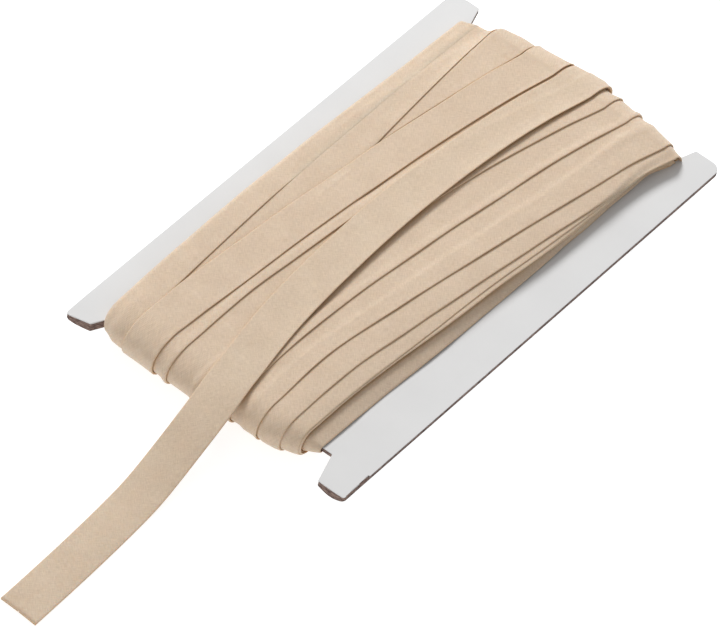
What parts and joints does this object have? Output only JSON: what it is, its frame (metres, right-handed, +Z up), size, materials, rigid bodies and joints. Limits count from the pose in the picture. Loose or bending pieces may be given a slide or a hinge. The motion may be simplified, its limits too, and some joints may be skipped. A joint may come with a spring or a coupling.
{
  "type": "bias binding wound on a card",
  "caption": "Folded cotton tape wound flat and lengthwise round a notched H-shaped card, with its last turn lying loose across the laps.",
  "frame": {"origin": "on the resting surface, at the middle of the flat underside of the winding, under the middle of the card", "axes": "+X across the card, -Y towards the near end where the loose end leaves, +Z up"},
  "size_m": [0.1529, 0.3945, 0.0237],
  "materials": {
    "board": "white-lined greyboard, matt",
    "cotton": "sand-coloured plain-weave cotton cut on the bias, matt"
  },
  "bodies": {
    "root": {"card": "board", "winding": "cotton", "loose_end": "cotton"}
  },
  "joints": []
}
